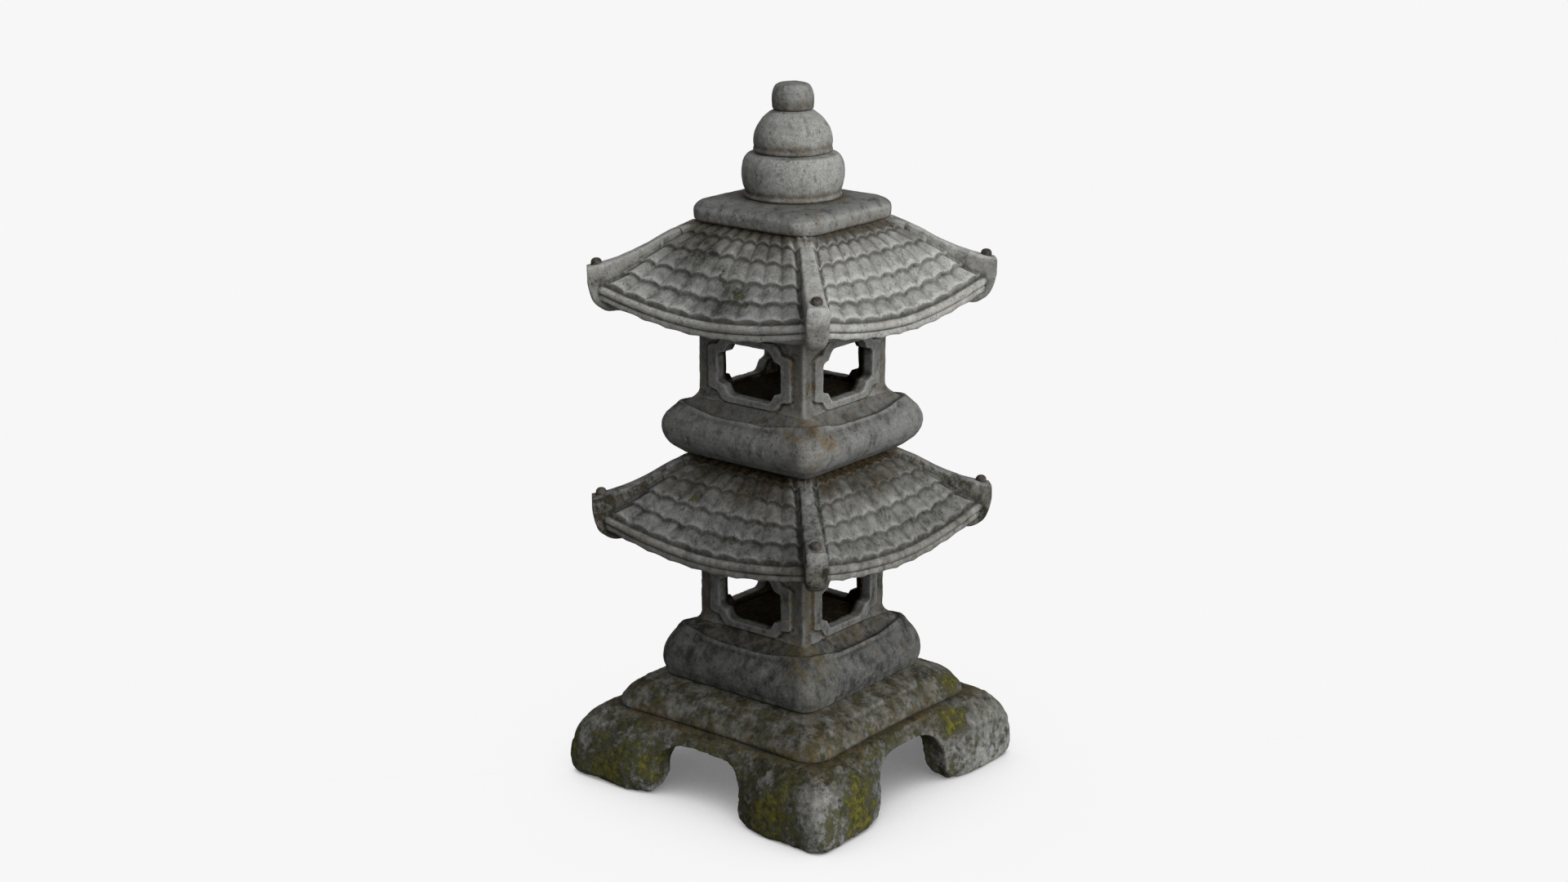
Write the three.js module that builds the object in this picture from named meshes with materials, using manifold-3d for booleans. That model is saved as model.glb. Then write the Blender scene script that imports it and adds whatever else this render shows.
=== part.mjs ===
// Two-tier stone lantern, built as a stack of separate stones on short dowels.
// Millimetres, +Z up, origin on the ground under the lantern's axis.
import * as THREE from "three";
import { mergeVertices } from "three/addons/utils/BufferGeometryUtils.js";
import Module from "manifold-3d";

// Stones rest on each other with this gap, so that no two solids touch.
const GAP = 0.3;

// Heights of the beds: the top of one stone, where the next one rests.
const BASE_TOP = 93;
const STEP_TOP = 133;
const LOWER_PLATFORM_TOP = 206;
const STOREY_PITCH = 298;
const BOX_HEIGHT = 100;
const ROOF_HEIGHT = 125.4;
const SLAB_HEIGHT = 28.5;
const UPPER_PLATFORM_TOP = LOWER_PLATFORM_TOP + STOREY_PITCH;
const LOWER_BOX_TOP = LOWER_PLATFORM_TOP + BOX_HEIGHT;
const UPPER_BOX_TOP = LOWER_BOX_TOP + STOREY_PITCH;
const LOWER_ROOF_TOP = LOWER_BOX_TOP + ROOF_HEIGHT;
const UPPER_ROOF_TOP = UPPER_BOX_TOP + ROOF_HEIGHT;
const SLAB_TOP = UPPER_ROOF_TOP + SLAB_HEIGHT;
const LOWER_BULB_TOP = 814;
const MIDDLE_BULB_TOP = 865.5;
const LANTERN_TOP = 900;

// Foot stone: a shell on four corner feet, with an arch between each pair.
const FOOT_HALF = 212.5;
const FOOT_WALL = 49.5;
const FOOT_CEILING = 68;
const BRIDGE_INSET = 15;
const ARCH_HALF = 73;
const ARCH_TOP = 73.5;

// Light boxes: four walls, a window in each, and a raised moulding round it.
const BOX_HALF = 84.5;
const BOX_WALL = 18;
const MOULDING_RISE = 4;
const WINDOW_ABOVE_BED = 44;
const TENON_HALF = BOX_HALF - BOX_WALL - 1.5;
const TENON_RISE = 8;

// Platforms: the rim of each dips between its corners.
const RIM_DIP = 6.5;
const RIM_DEPTH = 30;

// Roofs: tiled courses between four ridges that end in beaks.
const EAVE_HALF = 182;
const CORNER_LIFT = 25;
const LIFT_STARTS = 120;
const LIFT_POWER = 1.8;
const RIDGE_HALF_WIDTH = 13.5;
const RIDGE_EDGE = 3;
const ROOF_CORNER = 0.05;
const KNOB_RADIUS = 7;
const KNOB_REACH = 245;
const KNOB_SEAT = 70;
const KNOB_STUB_RADIUS = 3;
const KNOB_STUB_LENGTH = 6;

// Tiles: as many columns in each course, so they narrow towards the top. A valley runs between two columns.
const TILE_COLUMNS = 9;
const TILE_WIDTH = 36.5;
const TILE_TAPER = 0.235;
const TILES_START = 27;
const TILES_WIDEST = 180;
const TILES_NARROWEST = 105;
const TILE_CROWN = 2.2;
const TILE_ARCH = 2;
const TILE_SLOPE = 0.9;

// Dowels and the finial's rod.
const DOWEL_RADIUS = 8;
const DOWEL_HALF_LENGTH = 16;
const ROD_RADIUS = 6;
const ROD_IN_ROOF = 29;
const ROD_IN_KNOB = 19;

// Steps round a stone: along each flat side, and in each half of a corner's arc.
const SIDE_STEPS = 4;
const ARC_STEPS = 2;
const ROUND_STEPS = 24;
const PIN_STEPS = 12;

const wasm = await Module();
wasm.setup();

const graniteGrey = new THREE.MeshStandardMaterial({ color: 0x8b8c87, roughness: 0.92, metalness: 0 });
const tileGrey = new THREE.MeshStandardMaterial({ color: 0x9a9b94, roughness: 0.9, metalness: 0 });
const mossyGrey = new THREE.MeshStandardMaterial({ color: 0x6d6c58, roughness: 0.95, metalness: 0 });
const rustyBrown = new THREE.MeshStandardMaterial({ color: 0x6b5442, roughness: 0.8, metalness: 0.1 });
const dowelSteel = new THREE.MeshStandardMaterial({ color: 0x9aa0a5, roughness: 0.4, metalness: 1 });

function namedMesh(name, geometry, material) {
  const mesh = new THREE.Mesh(geometry, material);
  mesh.name = name;
  return mesh;
}

function toSolid(geometry) {
  const bare = geometry.clone();
  bare.deleteAttribute("normal");
  bare.deleteAttribute("uv");
  const merged = mergeVertices(bare, 1e-3);
  return new wasm.Manifold(new wasm.Mesh({
    numProp: 3,
    vertProperties: merged.attributes.position.array,
    triVerts: Uint32Array.from(merged.index.array),
  }));
}

function toGeometry(solid) {
  const mesh = solid.getMesh();
  const shared = new THREE.BufferGeometry();
  shared.setAttribute("position", new THREE.BufferAttribute(mesh.vertProperties, 3));
  shared.setIndex(new THREE.BufferAttribute(mesh.triVerts, 1));
  const faceted = shared.toNonIndexed();
  faceted.computeVertexNormals();
  return faceted;
}

function smoothStep(value) {
  return THREE.MathUtils.smoothstep(value, 0, 1);
}

// One step round a square ring with rounded corners, from one corner's middle to the next.
function squareRing(step, half, corner, sideSteps) {
  const perSide = sideSteps + 2 * ARC_STEPS;
  const along = step % perSide;
  const radius = corner * half;
  const flat = half - radius;
  const leaving = Math.min(along - ARC_STEPS, 0);
  const arriving = Math.max(along - ARC_STEPS - sideSteps, 0);
  const angle = ((leaving + arriving) / ARC_STEPS) * (Math.PI / 4);
  const straight = THREE.MathUtils.clamp((2 * (along - ARC_STEPS)) / sideSteps - 1, -1, 1);
  const point = new THREE.Vector2(
    flat + radius * Math.cos(angle),
    flat * straight + radius * Math.sin(angle),
  );
  return point.rotateAround(new THREE.Vector2(), Math.floor(step / perSide) * (Math.PI / 2));
}

// A square stone from its outline of [half side, height] points, lowest first.
// shape moves each finished point: shape(point, half).
function squareStone(outline, corner, sideSteps = SIDE_STEPS, shape = () => {}) {
  const rings = outline.map(([half, height]) => new THREE.Vector2(half, height));
  const steps = 4 * (sideSteps + 2 * ARC_STEPS);
  const geometry = new THREE.LatheGeometry(rings, steps);
  const position = geometry.attributes.position;
  for (let i = 0; i < position.count; i += 1) {
    const ring = rings[i % rings.length];
    const plan = squareRing(Math.floor(i / rings.length) % steps, ring.x, corner, sideSteps);
    const point = new THREE.Vector3(plan.x, plan.y, ring.y);
    shape(point, ring.x);
    position.setXYZ(i, point.x, point.y, point.z);
  }
  return toSolid(geometry);
}

// A round piece from its outline of [radius, height] points, lowest first.
function roundPiece(outline, steps) {
  const points = outline.map(([radius, height]) => new THREE.Vector2(radius, height));
  return toSolid(new THREE.LatheGeometry(points, steps).rotateX(Math.PI / 2));
}

function upright(radius, bottom, top, steps = PIN_STEPS) {
  const cylinder = new THREE.CylinderGeometry(radius, radius, top - bottom, steps);
  return toSolid(cylinder.rotateX(Math.PI / 2).translate(0, 0, (bottom + top) / 2));
}

function block(half, bottom, top) {
  const box = new THREE.BoxGeometry(2 * half, 2 * half, top - bottom);
  return toSolid(box.translate(0, 0, (bottom + top) / 2));
}

// A shape in the XZ plane, pushed right through the stone along Y, and turned about Z.
function through(shape, halfDepth, turn = 0) {
  const bar = new THREE.ExtrudeGeometry(shape, {
    depth: 2 * halfDepth,
    bevelEnabled: false,
    curveSegments: 6,
  });
  return toSolid(bar.translate(0, 0, -halfDepth).rotateX(Math.PI / 2).rotateZ(turn));
}

function dowelHole(bed) {
  const reach = DOWEL_HALF_LENGTH + 1;
  return upright(DOWEL_RADIUS + GAP, bed - reach, bed + reach);
}

function archShape() {
  const arch = new THREE.Shape();
  arch.moveTo(-ARCH_HALF - 15, -1);
  arch.quadraticCurveTo(-ARCH_HALF - 2, 2, -ARCH_HALF, 14);
  arch.lineTo(-ARCH_HALF + 4, 42);
  arch.bezierCurveTo(-ARCH_HALF + 7, 66, -45, ARCH_TOP, 0, ARCH_TOP);
  arch.bezierCurveTo(45, ARCH_TOP, ARCH_HALF - 7, 66, ARCH_HALF - 4, 42);
  arch.lineTo(ARCH_HALF, 14);
  arch.quadraticCurveTo(ARCH_HALF + 2, 2, ARCH_HALF + 15, -1);
  arch.closePath();
  return arch;
}

// The sides of the foot stone draw in between its feet, more so lower down.
function drawInBridges(point, half) {
  const along = Math.min(Math.abs(point.x), Math.abs(point.y));
  const drop = THREE.MathUtils.clamp((half - 172) / 30, 0, 1);
  const inset = BRIDGE_INSET * drop * (1 - smoothStep((along - 70) / 50));
  if (Math.abs(point.x) > Math.abs(point.y)) {
    point.x -= Math.sign(point.x) * inset;
  } else {
    point.y -= Math.sign(point.y) * inset;
  }
}

function basePlinth() {
  const outline = [
    [0, 0], [206, 0], [210, 6], [FOOT_HALF, 16], [FOOT_HALF, 30], [210.5, 44], [207, 58],
    [202, 70], [194, 80], [184, 88.5], [174, BASE_TOP], [0, BASE_TOP],
  ];
  return squareStone(outline, 0.1, 8, drawInBridges)
    .subtract(block(FOOT_HALF - FOOT_WALL, -1, FOOT_CEILING))
    .subtract(through(archShape(), FOOT_HALF + 10))
    .subtract(through(archShape(), FOOT_HALF + 10, Math.PI / 2))
    .subtract(dowelHole(BASE_TOP));
}

function stepPlinth() {
  const bed = BASE_TOP + GAP;
  const outline = [
    [0, bed], [168, bed], [169.5, bed + 5.5], [166.5, bed + 11], [159, bed + 21.5], [148, bed + 29.5],
    [137, bed + 33.5], [127, STEP_TOP], [0, STEP_TOP],
  ];
  return squareStone(outline, 0.2)
    .subtract(dowelHole(BASE_TOP))
    .subtract(dowelHole(STEP_TOP));
}

// Lowers the rim of a platform between its corners, and not at its outer bulge or at the light box.
function dipRim(point, half, top) {
  const along = Math.min(Math.abs(point.x), Math.abs(point.y));
  const inRim = smoothStep((point.z - top + RIM_DEPTH) / 20) * smoothStep((half - BOX_HALF - 2) / 12);
  point.z -= RIM_DIP * inRim * (1 - smoothStep((along - 35) / 60));
}

function platformStone(outline, top) {
  return squareStone(outline, 0.17, 8, (point, half) => dipRim(point, half, top));
}

// The top of a platform, from its rim in to the tenon that stands inside the light box.
function platformTop(rimHalf, top) {
  return [
    [rimHalf, top - 8], [rimHalf - 8, top - 6], [98, top - 4], [BOX_HALF + 2, top],
    [TENON_HALF, top], [TENON_HALF, top + TENON_RISE], [0, top + TENON_RISE],
  ];
}

function lowerPlatform() {
  const bed = STEP_TOP + GAP;
  const outline = [
    [0, bed], [119, bed], [122, bed + 5], [125, bed + 17], [124, bed + 36], [120, bed + 49], [115.5, bed + 58],
    ...platformTop(110, LOWER_PLATFORM_TOP),
  ];
  return platformStone(outline, LOWER_PLATFORM_TOP).subtract(dowelHole(STEP_TOP));
}

function upperPlatform() {
  const bed = LOWER_ROOF_TOP + GAP;
  const outline = [
    [0, bed], [96, bed], [106, bed + 3.5], [118, bed + 14], [123.5, bed + 25], [124.9, bed + 34],
    [122.5, bed + 46.5], [120, bed + 52], [115.5, bed + 58], ...platformTop(111, UPPER_PLATFORM_TOP),
  ];
  return platformStone(outline, UPPER_PLATFORM_TOP).subtract(dowelHole(LOWER_ROOF_TOP));
}

// A window outline with stepped corners: side is where the straight side ends, shoulder is the step.
function windowShape(side, shoulder, head) {
  const quarter = [side, shoulder, head];
  const corners = [
    ...quarter,
    ...quarter.map(([x, z]) => [-x, z]).reverse(),
    ...quarter.map(([x, z]) => [-x, -z]),
    ...quarter.map(([x, z]) => [x, -z]).reverse(),
  ];
  return new THREE.Shape(corners.map(([x, z]) => new THREE.Vector2(x, z)));
}

function lightBox(platformHeight) {
  const bottom = platformHeight + GAP;
  const top = platformHeight + BOX_HEIGHT - GAP;
  const windowHeight = platformHeight + WINDOW_ABOVE_BED;
  const moulding = windowShape([66, 26], [50, 31], [34, 42.5]);
  const opening = windowShape([51.5, 17], [38.5, 23], [27, 33.5]);
  const quarterTurn = Math.PI / 2;
  const mouldingDepth = BOX_HALF + MOULDING_RISE;
  return block(BOX_HALF, bottom, top)
    .add(through(moulding, mouldingDepth).translate(0, 0, windowHeight))
    .add(through(moulding, mouldingDepth, quarterTurn).translate(0, 0, windowHeight))
    .subtract(block(BOX_HALF - BOX_WALL, bottom - 1, top + 1))
    .subtract(through(opening, mouldingDepth + 1).translate(0, 0, windowHeight))
    .subtract(through(opening, mouldingDepth + 1, quarterTurn).translate(0, 0, windowHeight));
}

// The roof sweeps up towards its corners, from nothing at the top to CORNER_LIFT at the eave.
function liftCorners(point, half) {
  const share = smoothStep((half - LIFT_STARTS) / (EAVE_HALF - 6 - LIFT_STARTS));
  const along = Math.min(Math.abs(point.x), Math.abs(point.y)) / Math.max(half, 1);
  point.z += CORNER_LIFT * share * along ** LIFT_POWER;
}

// Sets out the tiles of a course: a valley at each odd place along a side, and the crown of a tile at each
// even one. Crowns stand proud, and the course's lower edge arches up over them.
function layTiles(point, half) {
  const flat = half * (1 - ROOF_CORNER);
  const [along, across] = Math.abs(point.x) > Math.abs(point.y) ? ["y", "x"] : ["x", "y"];
  const place = Math.round((point[along] / flat) * (TILE_COLUMNS + 1));
  const onTiles = point.z > TILES_START && half > TILES_NARROWEST && half <= TILES_WIDEST;
  if (!onTiles || Math.abs(place) > TILE_COLUMNS) {
    return;
  }
  const isValley = place % 2 !== 0;
  const reach = isValley ? TILE_ARCH : -TILE_ARCH;
  point[along] = (place * (TILE_WIDTH - TILE_TAPER * (TILES_WIDEST - half))) / 2;
  point[across] += Math.sign(point[across]) * reach;
  point.z += (isValley ? 0 : TILE_CROWN) - reach * TILE_SLOPE;
}

function shapeRoof(point, half) {
  layTiles(point, half);
  liftCorners(point, half);
}

// A ridge seen from the side, from under the slab out to the beak. Heights are above the roof's bed.
function ridgeShape() {
  const ridge = new THREE.Shape();
  ridge.moveTo(110, 96);
  ridge.lineTo(110, ROOF_HEIGHT - 1);
  ridge.lineTo(124, ROOF_HEIGHT - 1);
  ridge.splineThru([[140, 119], [160, 110], [186, 95.5], [218, 81.5], [256, 71]].map(
    ([x, z]) => new THREE.Vector2(x, z),
  ));
  ridge.lineTo(257, 50);
  ridge.quadraticCurveTo(256, 18, 234, 14);
  ridge.lineTo(205, 19);
  ridge.closePath();
  return ridge;
}

function ridge(turn) {
  const bar = new THREE.ExtrudeGeometry(ridgeShape(), {
    depth: 2 * (RIDGE_HALF_WIDTH - RIDGE_EDGE),
    curveSegments: 2,
    bevelThickness: RIDGE_EDGE,
    bevelSize: RIDGE_EDGE,
    bevelOffset: -RIDGE_EDGE,
    bevelSegments: 1,
  });
  bar.translate(0, 0, RIDGE_EDGE - RIDGE_HALF_WIDTH);
  return toSolid(bar.rotateX(Math.PI / 2).rotateZ(turn));
}

function ridgeTurn(index) {
  return Math.PI / 4 + (index * Math.PI) / 2;
}

// A roof with its bed at height 0: tenon, underside, eave roll and five stepped courses of tiles.
function roof() {
  const outline = [
    [0, -TENON_RISE], [TENON_HALF, -TENON_RISE], [TENON_HALF, 0], [100, 0], [150, 3], [172, 8],
    [180, 9.5], [181, 15], [178.5, 16.5], [EAVE_HALF, 19], [EAVE_HALF + 1.5, 22], [EAVE_HALF, 26],
    [176, 28], [180, 33], [161, 47], [160.5, 51.5], [146, 70], [145.5, 74], [130, 92], [129.5, 96],
    [113, 108.5], [112.5, 112.5], [92, ROOF_HEIGHT - GAP], [0, ROOF_HEIGHT - GAP],
  ];
  let solid = squareStone(outline, ROOF_CORNER, 2 * (TILE_COLUMNS + 1), shapeRoof);
  for (let i = 0; i < 4; i += 1) {
    const seat = upright(KNOB_RADIUS + 0.6, KNOB_SEAT, KNOB_SEAT + 20)
      .add(upright(KNOB_STUB_RADIUS + GAP, KNOB_SEAT - KNOB_STUB_LENGTH - GAP, KNOB_SEAT + 1));
    const [x, y] = knobPlace(i);
    solid = solid.add(ridge(ridgeTurn(i))).subtract(seat.translate(x, y, 0));
  }
  return solid;
}

function knobPlace(index) {
  return [KNOB_REACH * Math.cos(ridgeTurn(index)), KNOB_REACH * Math.sin(ridgeTurn(index))];
}

function lowerRoof() {
  return roof().translate(0, 0, LOWER_BOX_TOP).subtract(dowelHole(LOWER_ROOF_TOP));
}

function upperRoof() {
  const hole = upright(ROD_RADIUS + GAP, UPPER_ROOF_TOP - ROD_IN_ROOF - 1, UPPER_ROOF_TOP + 1);
  return roof().translate(0, 0, UPPER_BOX_TOP).subtract(hole);
}

// A ridge-end knob: a low dome on a stub tenon, with the seat of the knob at height 0.
function ridgeKnob() {
  const outline = [
    [0, -KNOB_STUB_LENGTH], [KNOB_STUB_RADIUS, -KNOB_STUB_LENGTH], [KNOB_STUB_RADIUS, GAP],
    [KNOB_RADIUS, GAP], [KNOB_RADIUS, 6], [5.5, 9.5], [2.5, 11.2], [0, 11.5],
  ];
  return roundPiece(outline, PIN_STEPS);
}

function capSlab() {
  const bed = UPPER_ROOF_TOP + GAP;
  const outline = [
    [0, bed], [90, bed], [95, bed + 2.5], [96, bed + 6], [96, bed + 16], [93, bed + 20.5], [89, bed + 24],
    [83, bed + 26.5], [64, SLAB_TOP], [0, SLAB_TOP],
  ];
  return squareStone(outline, 0.31)
    .subtract(upright(ROD_RADIUS + GAP, bed - 1, SLAB_TOP + 1));
}

function rodHole(bottom, top) {
  return upright(ROD_RADIUS + GAP, bottom, top);
}

function finialLowerBulb() {
  const bed = SLAB_TOP + GAP;
  const outline = [
    [0, bed], [59, bed], [60.3, bed + 2.5], [59.5, bed + 5.5], [57.8, bed + 7], [60.2, bed + 9],
    [62.7, bed + 19], [63.8, bed + 29], [63, bed + 41], [59.5, bed + 50], [55, bed + 53.5],
    [50, LOWER_BULB_TOP], [0, LOWER_BULB_TOP],
  ];
  return roundPiece(outline, ROUND_STEPS).subtract(rodHole(bed - 1, LOWER_BULB_TOP + 1));
}

function finialMiddleBulb() {
  const bed = LOWER_BULB_TOP + GAP;
  const outline = [
    [0, bed], [48, bed], [49.2, bed + 2.2], [48, bed + 4.5], [46.8, bed + 5.8], [48.6, bed + 9],
    [48.8, bed + 15], [46.2, bed + 27], [41.7, bed + 35], [35.6, bed + 43], [28, bed + 49],
    [24, MIDDLE_BULB_TOP], [0, MIDDLE_BULB_TOP],
  ];
  return roundPiece(outline, ROUND_STEPS).subtract(rodHole(bed - 1, MIDDLE_BULB_TOP + 1));
}

function finialKnob() {
  const bed = MIDDLE_BULB_TOP + GAP;
  const outline = [
    [0, bed], [24.5, bed], [26, bed + 5], [26, bed + 16], [24.5, bed + 23.5], [21, bed + 30],
    [12, bed + 33.6], [0, LANTERN_TOP],
  ];
  return roundPiece(outline, ROUND_STEPS)
    .subtract(rodHole(bed - 1, MIDDLE_BULB_TOP + ROD_IN_KNOB + 1));
}

function dowel(bed) {
  return upright(DOWEL_RADIUS, bed - DOWEL_HALF_LENGTH, bed + DOWEL_HALF_LENGTH);
}

function finialRod() {
  return upright(ROD_RADIUS, UPPER_ROOF_TOP - ROD_IN_ROOF, MIDDLE_BULB_TOP + ROD_IN_KNOB);
}

function ridgeKnobs(tier, bed) {
  const geometry = toGeometry(ridgeKnob());
  const group = new THREE.Group();
  for (let i = 0; i < 4; i += 1) {
    const knob = namedMesh(`${tier}_ridge_knob_${i + 1}`, geometry, rustyBrown);
    knob.position.set(...knobPlace(i), bed + KNOB_SEAT);
    group.add(knob);
  }
  return group;
}

const lantern = new THREE.Group();
lantern.add(
  namedMesh("base_plinth", toGeometry(basePlinth()), mossyGrey),
  namedMesh("base_dowel", toGeometry(dowel(BASE_TOP)), dowelSteel),
  namedMesh("step_plinth", toGeometry(stepPlinth()), mossyGrey),
  namedMesh("step_dowel", toGeometry(dowel(STEP_TOP)), dowelSteel),
  namedMesh("lower_platform", toGeometry(lowerPlatform()), graniteGrey),
  namedMesh("lower_light_box", toGeometry(lightBox(LOWER_PLATFORM_TOP)), graniteGrey),
  namedMesh("lower_roof", toGeometry(lowerRoof()), tileGrey),
  ridgeKnobs("lower", LOWER_BOX_TOP),
  namedMesh("roof_dowel", toGeometry(dowel(LOWER_ROOF_TOP)), dowelSteel),
  namedMesh("upper_platform", toGeometry(upperPlatform()), graniteGrey),
  namedMesh("upper_light_box", toGeometry(lightBox(UPPER_PLATFORM_TOP)), graniteGrey),
  namedMesh("upper_roof", toGeometry(upperRoof()), tileGrey),
  ridgeKnobs("upper", UPPER_BOX_TOP),
  namedMesh("cap_slab", toGeometry(capSlab()), graniteGrey),
  namedMesh("finial_lower_bulb", toGeometry(finialLowerBulb()), graniteGrey),
  namedMesh("finial_middle_bulb", toGeometry(finialMiddleBulb()), graniteGrey),
  namedMesh("finial_knob", toGeometry(finialKnob()), graniteGrey),
  namedMesh("finial_rod", toGeometry(finialRod()), dowelSteel),
);

export default lantern;
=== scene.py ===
"""The looks of the two-tier stone lantern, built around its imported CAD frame."""

import math

import bpy
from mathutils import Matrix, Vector
import numpy as np


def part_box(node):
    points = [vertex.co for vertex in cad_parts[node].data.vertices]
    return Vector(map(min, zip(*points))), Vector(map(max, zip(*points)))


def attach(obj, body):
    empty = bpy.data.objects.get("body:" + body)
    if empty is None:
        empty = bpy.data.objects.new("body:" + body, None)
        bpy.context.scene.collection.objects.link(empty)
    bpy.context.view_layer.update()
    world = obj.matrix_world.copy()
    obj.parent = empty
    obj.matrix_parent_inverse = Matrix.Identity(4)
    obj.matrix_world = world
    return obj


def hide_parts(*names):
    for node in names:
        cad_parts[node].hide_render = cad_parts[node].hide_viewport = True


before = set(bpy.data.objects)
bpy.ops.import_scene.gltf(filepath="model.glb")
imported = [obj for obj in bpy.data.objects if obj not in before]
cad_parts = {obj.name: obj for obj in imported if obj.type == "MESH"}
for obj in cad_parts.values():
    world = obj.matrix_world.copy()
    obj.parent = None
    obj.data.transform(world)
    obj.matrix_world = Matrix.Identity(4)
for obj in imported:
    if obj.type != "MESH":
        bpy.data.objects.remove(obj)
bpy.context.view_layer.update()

# Lengths below are in millimetres, but for the floor's and the camera's. Meshes are scaled to metres when
# they are made.
MM = 0.001
PLAIN_VOXEL = 2.4
FINE_VOXEL = 1.6
BULB_VOXEL = 1.7
FINIAL_KNOB_VOXEL = 1.5
RIDGE_KNOB_VOXEL = 0.9
BED_GAP = 0.15
ROOF_GAP = 0.3


def node_top(name):
    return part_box(name)[1].z / MM


def node_bottom(name):
    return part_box(name)[0].z / MM


STEP_BED = node_bottom("step_plinth")
LOWER_PLATFORM_BED = node_bottom("lower_platform")
LOWER_BOX_BED = node_bottom("lower_light_box")
UPPER_PLATFORM_BED = node_bottom("upper_platform")
UPPER_BOX_BED = node_bottom("upper_light_box")
SLAB_BED = node_bottom("cap_slab")
SLAB_TOP = node_top("cap_slab")
LOWER_ROOF_BED = node_top("lower_light_box") + ROOF_GAP
UPPER_ROOF_BED = node_top("upper_light_box") + ROOF_GAP


# ---- numbers

def smooth(low, high, value):
    """0 up to low, 1 from high on, and a soft step between. It also runs the other way, from high to low."""
    share = np.clip((np.asarray(value, float) - low) / (high - low), 0.0, 1.0)
    return share * share * (3.0 - 2.0 * share)


def bell(gap, width):
    """1 where the gap is 0, falling off over about the width."""
    return np.exp(-(gap / width) ** 2)


def lattice(cell, seed):
    """A fixed number from -1 to 1 for each whole-number cell, made by mixing its bits with large primes."""
    mixed = cell[..., 0] * 73856093 ^ cell[..., 1] * 19349663 ^ cell[..., 2] * 83492791 ^ seed * 2654435
    mixed = (mixed ^ mixed >> 13) * 1274126177 & 0xFFFFFFFF
    mixed = (mixed ^ mixed >> 16) * 668265263 & 0xFFFFFFFF
    return (mixed >> 8) / float(1 << 23) - 1.0


# Turns the noise's grid away from the stones' own faces.
TILT = np.array([[0.36, 0.48, -0.80], [-0.80, 0.60, 0.00], [0.48, 0.64, 0.60]])


def noise(points, size, seed):
    """Smooth noise from -1 to 1 whose lumps are about size across."""
    place = points @ TILT.T / size
    cell = np.floor(place).astype(np.int64)
    part = place - cell
    part = part * part * (3.0 - 2.0 * part)
    total = np.zeros(len(points))
    for corner in np.ndindex(2, 2, 2):
        step = np.array(corner)
        weight = np.prod(np.where(step, part, 1.0 - part), axis=1)
        total += weight * lattice(cell + step, seed)
    return total


def layered(points, size, seed, layers=3):
    """Noise whose lumps are about size across, with finer noise on top."""
    return sum(noise(points, size / 2 ** k, seed + k) / 2 ** k for k in range(layers)) / 1.6


def spline(points, steps):
    """A smooth curve through the points, with steps between each pair."""
    p = np.asarray(points, float)
    ends = np.vstack([2 * p[0] - p[1], p, 2 * p[-1] - p[-2]])
    t = np.linspace(0, 1, steps, endpoint=False)[:, None]
    spans = []
    for a, b, c, d in zip(ends, ends[1:], ends[2:], ends[3:]):
        spans.append(0.5 * (2 * b + (c - a) * t + (2 * a - 5 * b + 4 * c - d) * t ** 2
                            + (3 * b - a - 3 * c + d) * t ** 3))
    return np.vstack([*spans, p[-1:]])


def plan_place(points):
    """How far each point is from the axis towards the side it is nearest to, and along that side."""
    plan = np.abs(points[:, :2])
    return plan.max(1), plan.min(1)


# ---- shells

def tube_faces(rings, steps):
    """Quads between stacked rings, with a flat cap at each end. Counter-clockwise rings, lowest first."""
    faces = []
    for r in range(rings - 1):
        for s in range(steps):
            t = (s + 1) % steps
            faces.append((r * steps + s, r * steps + t, (r + 1) * steps + t, (r + 1) * steps + s))
    faces.append(tuple(range(steps - 1, -1, -1)))
    faces.append(tuple(range((rings - 1) * steps, rings * steps)))
    return faces


CORNER_ARC = 0.16


def square_ring(half, corner, steps):
    """Points round a square with rounded corners, and how near each is to a corner, from 0 to 1.

    corner is the share of half that a rounded corner takes. Each half of it has the share CORNER_ARC of a
    side's points.
    """
    per_side = steps // 4
    place = (np.arange(steps) % per_side) / per_side
    arc = CORNER_ARC
    flat = half * (1 - corner)
    across = flat * np.clip((place - arc) / (1 - 2 * arc) * 2 - 1, -1, 1)
    angle = (np.minimum(place - arc, 0) + np.maximum(place - 1 + arc, 0)) / arc * math.pi / 4
    if corner == 1:
        across, angle = 0 * place, (place - 0.5) * math.pi / 2
    x = flat + half * corner * np.cos(angle)
    y = across + half * corner * np.sin(angle)
    turn = np.arange(steps) // per_side * math.pi / 2
    plan = np.stack([x * np.cos(turn) - y * np.sin(turn), x * np.sin(turn) + y * np.cos(turn)], 1)
    return plan, np.minimum(np.abs(y) / half, 1)


def square_shell(middle, corners, corner, steps, shape=None):
    """A square stone from two outlines of [half side, height]: at the middle of a side, and at a corner.

    corner(half side) is the share of each ring's half side that its rounded corners take.
    """
    rings = []
    for (half_m, z_m), (half_c, z_c) in zip(middle, corners):
        plan, near = square_ring(1.0, corner(half_m), steps)
        share = smooth(0.3, 0.95, near)
        half = half_m + (half_c - half_m) * share
        ring = np.column_stack([plan * half[:, None], z_m + (z_c - z_m) * share])
        rings.append(ring if shape is None else shape(ring))
    return np.vstack(rings), tube_faces(len(rings), steps)


def round_shell(outline, steps):
    """A round stone from its outline of [radius, height]."""
    angle = np.arange(steps) / steps * 2 * math.pi
    plan = np.stack([np.cos(angle), np.sin(angle)], 1)
    rings = [np.column_stack([plan * radius, np.full(steps, z)]) for radius, z in outline]
    return np.vstack(rings), tube_faces(len(rings), steps)


def bar_shell(outline, low, high, turn):
    """An outline in the XZ plane, pushed along Y from low to high, and turned about Z."""
    flat = np.asarray(outline, float)
    steps = len(flat)
    rings = [np.column_stack([flat[:, 0], np.full(steps, y), flat[:, 1]]) for y in (high, low)]
    return turned(np.vstack(rings), turn), tube_faces(2, steps)


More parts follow.
